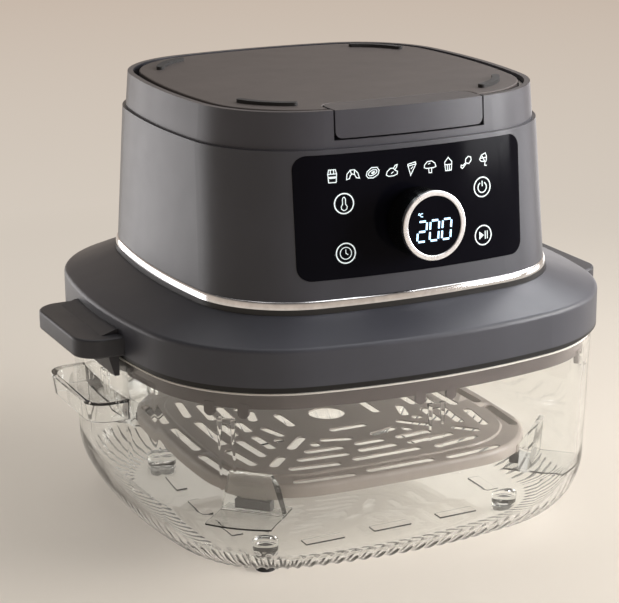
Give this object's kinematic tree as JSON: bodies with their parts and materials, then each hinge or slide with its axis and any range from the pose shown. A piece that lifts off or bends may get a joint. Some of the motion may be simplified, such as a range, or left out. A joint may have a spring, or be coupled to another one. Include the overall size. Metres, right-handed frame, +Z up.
{
  "type": "glass air fryer",
  "caption": "Clear glass bowl with a slotted crisper plate under a lift-off hot-air head with side handles, a dial on a touch panel and a fold-flat carrying handle.",
  "frame": {"origin": "under the middle of the bowl, on the plane its feet stand on", "axes": "+Z up, +X from side handle to side handle, -Y towards the control panel and dial"},
  "size_m": [0.36, 0.3, 0.2814],
  "materials": {
    "bowl_glass": "clear, smooth, with a lightly fluted lower edge",
    "foot_rubber": "soft matt rubber",
    "plate_coating": "grey-brown non-stick coating, satin",
    "bumper_silicone": "soft matt silicone",
    "body_plastic": "dark warm grey, fine satin texture",
    "skirt_plastic": "brown-grey heat-resistant plastic, satin",
    "seal_silicone": "soft matt silicone",
    "handle_plastic": "dark grey, satin",
    "screw_steel": "zinc plated",
    "reflector_sheet": "pressed sheet, satin",
    "element_steel": "heat-darkened tube",
    "ceramic": "glazed ceramic, off-white",
    "guard_steel": "perforated sheet",
    "deck_steel": "galvanised sheet",
    "trim_black": "black, half gloss",
    "bright_chrome": "polished",
    "panel_black": "black, high gloss",
    "dial_black": "black, half gloss",
    "inner_plastic": "moulded inner parts",
    "board_green": "green circuit board",
    "motor_steel": "stacked steel sheets",
    "coil_copper": "varnished copper wire",
    "bush_bronze": "sintered bronze",
    "fan_aluminium": "pressed sheet",
    "cap_plastic": "dark warm grey, satin",
    "top_plastic": "warm grey, satin"
  },
  "bodies": {
    "bowl": {"glass_bowl": "bowl_glass", "bowl_feet": "foot_rubber"},
    "head": {"collar_shell": "body_plastic", "skirt_ring": "skirt_plastic", "skirt_screws": "screw_steel", "rim_seal": "seal_silicone", "side_handle_left": "handle_plastic", "side_handle_right": "handle_plastic", "handle_screws": "screw_steel", "safety_switch": "inner_plastic", "reflector": "reflector_sheet", "reflector_screws": "screw_steel", "heating_element": "element_steel", "element_terminals": "ceramic", "element_clips": "guard_steel", "heater_guard": "guard_steel", "guard_screws": "screw_steel", "temperature_probe": "guard_steel", "inner_deck": "deck_steel", "shell_screws": "screw_steel", "tower_shell": "body_plastic", "step_trim": "trim_black", "chrome_ring": "bright_chrome", "control_panel": "panel_black", "dial_hub": "inner_plastic", "digit_display": "inner_plastic", "dial_lens": "panel_black", "control_board": "board_green", "board_screws": "screw_steel", "motor_bracket": "deck_steel", "motor_stator": "motor_steel", "motor_coil": "coil_copper", "bearing_bridge": "deck_steel", "shaft_bushes": "bush_bronze", "chassis_screws": "screw_steel", "mains_board": "board_green", "mains_parts": "inner_plastic", "thermal_cutout": "inner_plastic", "rear_grille": "body_plastic", "cord_gland": "foot_rubber", "top_cap": "cap_plastic", "top_plate": "top_plastic", "top_feet": "foot_rubber", "bail_pins": "screw_steel"},
    "crisper": {"crisper_plate": "plate_coating", "plate_bumpers": "bumper_silicone"},
    "carry_handle": {"bail_grip": "cap_plastic", "grip_cover": "cap_plastic", "bail_arms": "guard_steel"},
    "fan": {"fan_shaft": "screw_steel", "convection_fan": "fan_aluminium", "fan_nut": "screw_steel", "cooling_fan": "inner_plastic", "motor_rotor": "motor_steel"},
    "dial": {"dial_ring": "dial_black", "dial_bezel": "bright_chrome", "encoder_disc": "inner_plastic"},
    "plunger": {"switch_plunger": "inner_plastic"}
  },
  "joints": [
    {"name": "head_lift", "type": "slide", "parent": "bowl", "child": "head", "axis": [0, 0, 1], "range_m": [0, 0.3]},
    {"name": "crisper_lift", "type": "slide", "parent": "bowl", "child": "crisper", "axis": [0, 0, 1], "range_m": [0, 0.15]},
    {"name": "bail_swing", "type": "hinge", "parent": "head", "child": "carry_handle", "pos_m": [0, 0, 0.2725], "axis": [-1, 0, 0], "range_deg": [0, 90]},
    {"name": "dial_turn", "type": "hinge", "parent": "head", "child": "dial", "pos_m": [0, -0.11795, 0.2128], "axis": [0, -0.9969, 0.0784], "continuous": true},
    {"name": "fan_spin", "type": "hinge", "parent": "head", "child": "fan", "pos_m": [0, 0, 0.19], "axis": [0, 0, 1], "continuous": true},
    {"name": "plunger_drop", "type": "slide", "parent": "head", "child": "plunger", "axis": [0, 0, -1], "range_m": [0, 0.002]}
  ],
  "couplings": [
    {"joint": "crisper_lift", "follows": "head_lift", "ratio": 0.5},
    {"joint": "plunger_drop", "follows": "head_lift", "ratio": 0.00666}
  ]
}
